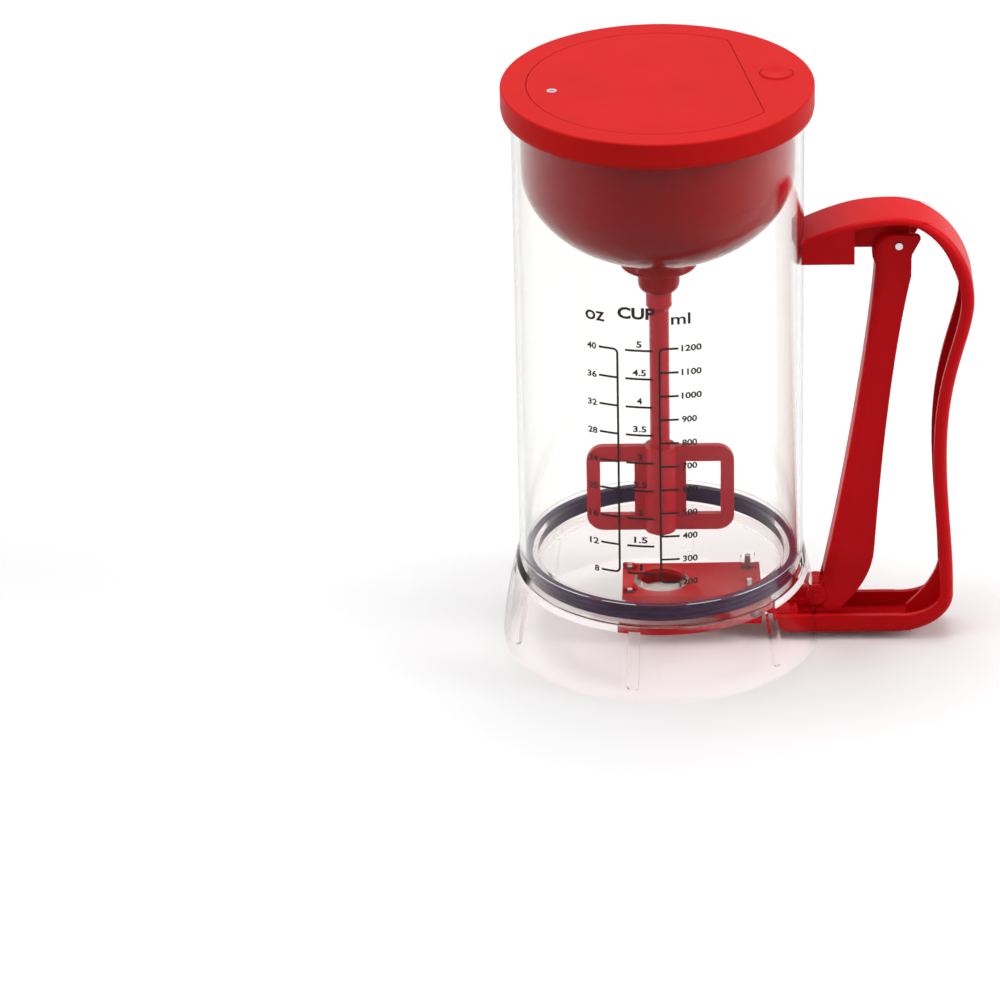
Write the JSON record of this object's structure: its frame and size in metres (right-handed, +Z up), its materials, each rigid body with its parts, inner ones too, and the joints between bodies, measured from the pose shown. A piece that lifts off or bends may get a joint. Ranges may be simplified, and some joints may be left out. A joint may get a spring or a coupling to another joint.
{
  "type": "pancake batter dispenser",
  "caption": "Hand-held batter mixer and dispenser: clear tank on a flared skirt, battery mixer in a lift-off lid, and a side handle whose trigger slides the outlet valve open.",
  "frame": {"origin": "centre of the skirt's rim, on the surface it stands on", "axes": "+Z up along the tank's axis, +X out to the handle, +Y to the far side"},
  "size_m": [0.1908, 0.13, 0.2438],
  "materials": {
    "clear_tank": "clear polished plastic",
    "clear_skirt": "clear polished plastic, faint pink tint",
    "clear_floor": "clear polished plastic",
    "seal_purple": "dark purple silicone",
    "seal_white": "translucent white silicone",
    "lid_red": "satin red",
    "bowl_red": "polished deep red",
    "shaft_red": "polished red",
    "handle_red": "satin red",
    "black_plastic": "fine matt",
    "steel": "plated steel",
    "battery_skin": "plain sleeve",
    "spring_steel": "spring wire"
  },
  "bodies": {
    "base": {"tank": "clear_tank", "base_skirt": "clear_skirt", "tank_floor": "clear_floor", "base_seal": "seal_purple", "valve_guide": "handle_red", "guide_screws": "steel", "handle_frame": "handle_red", "handle_screws": "steel", "trigger_pin": "steel"},
    "trigger": {"trigger": "handle_red", "link_pin": "handle_red", "trigger_spring": "spring_steel"},
    "valve": {"valve_slide": "handle_red", "valve_pad": "seal_white"},
    "lid_unit": {"lid_shell": "lid_red", "lid_seal": "seal_white", "button_spring": "spring_steel", "switch": "black_plastic", "battery_tray": "black_plastic", "battery_1": "battery_skin", "battery_2": "battery_skin", "battery_3": "battery_skin", "battery_4": "battery_skin", "contact_near": "steel", "contact_far": "steel", "motor_bowl": "bowl_red", "motor": "steel", "motor_bracket": "black_plastic", "shaft_collar": "bowl_red"},
    "power_button": {"power_button": "lid_red"},
    "battery_cover": {"battery_cover": "lid_red", "battery_cover_screw": "steel"},
    "mixer": {"motor_shaft": "steel", "mixer_shaft": "shaft_red", "mixer_paddle": "shaft_red"}
  },
  "joints": [
    {"name": "lid_lift", "type": "slide", "parent": "base", "child": "lid_unit", "axis": [0, 0, 1], "range_m": [0, 0.2]},
    {"name": "shaft_spin", "type": "hinge", "parent": "lid_unit", "child": "mixer", "pos_m": [0, 0, 0.17], "axis": [0, 0, 1], "continuous": true},
    {"name": "button_press", "type": "slide", "parent": "lid_unit", "child": "power_button", "axis": [0, 0, -1], "range_m": [0, 0.0015], "stiffness_N_per_m": 600, "springref_m": -0.001, "deforming": ["button_spring"]},
    {"name": "cover_tilt", "type": "hinge", "parent": "lid_unit", "child": "battery_cover", "pos_m": [0.03501, 0.00617, 0.2433], "axis": [-0.1736, 0.9848, 0], "range_deg": [0, 75]},
    {"name": "trigger_pull", "type": "hinge", "parent": "base", "child": "trigger", "pos_m": [0.0955, 0, 0.1753], "axis": [0, -1, 0], "range_deg": [0, 9], "stiffness_Nm_per_rad": 0.8, "springref_deg": -8.59, "deforming": ["trigger_spring"]},
    {"name": "valve_slide", "type": "slide", "parent": "base", "child": "valve", "axis": [1, 0, 0], "range_m": [0, 0.025]}
  ],
  "couplings": [
    {"joint": "valve_slide", "follows": "trigger_pull", "m_per_rad": 0.15877}
  ]
}
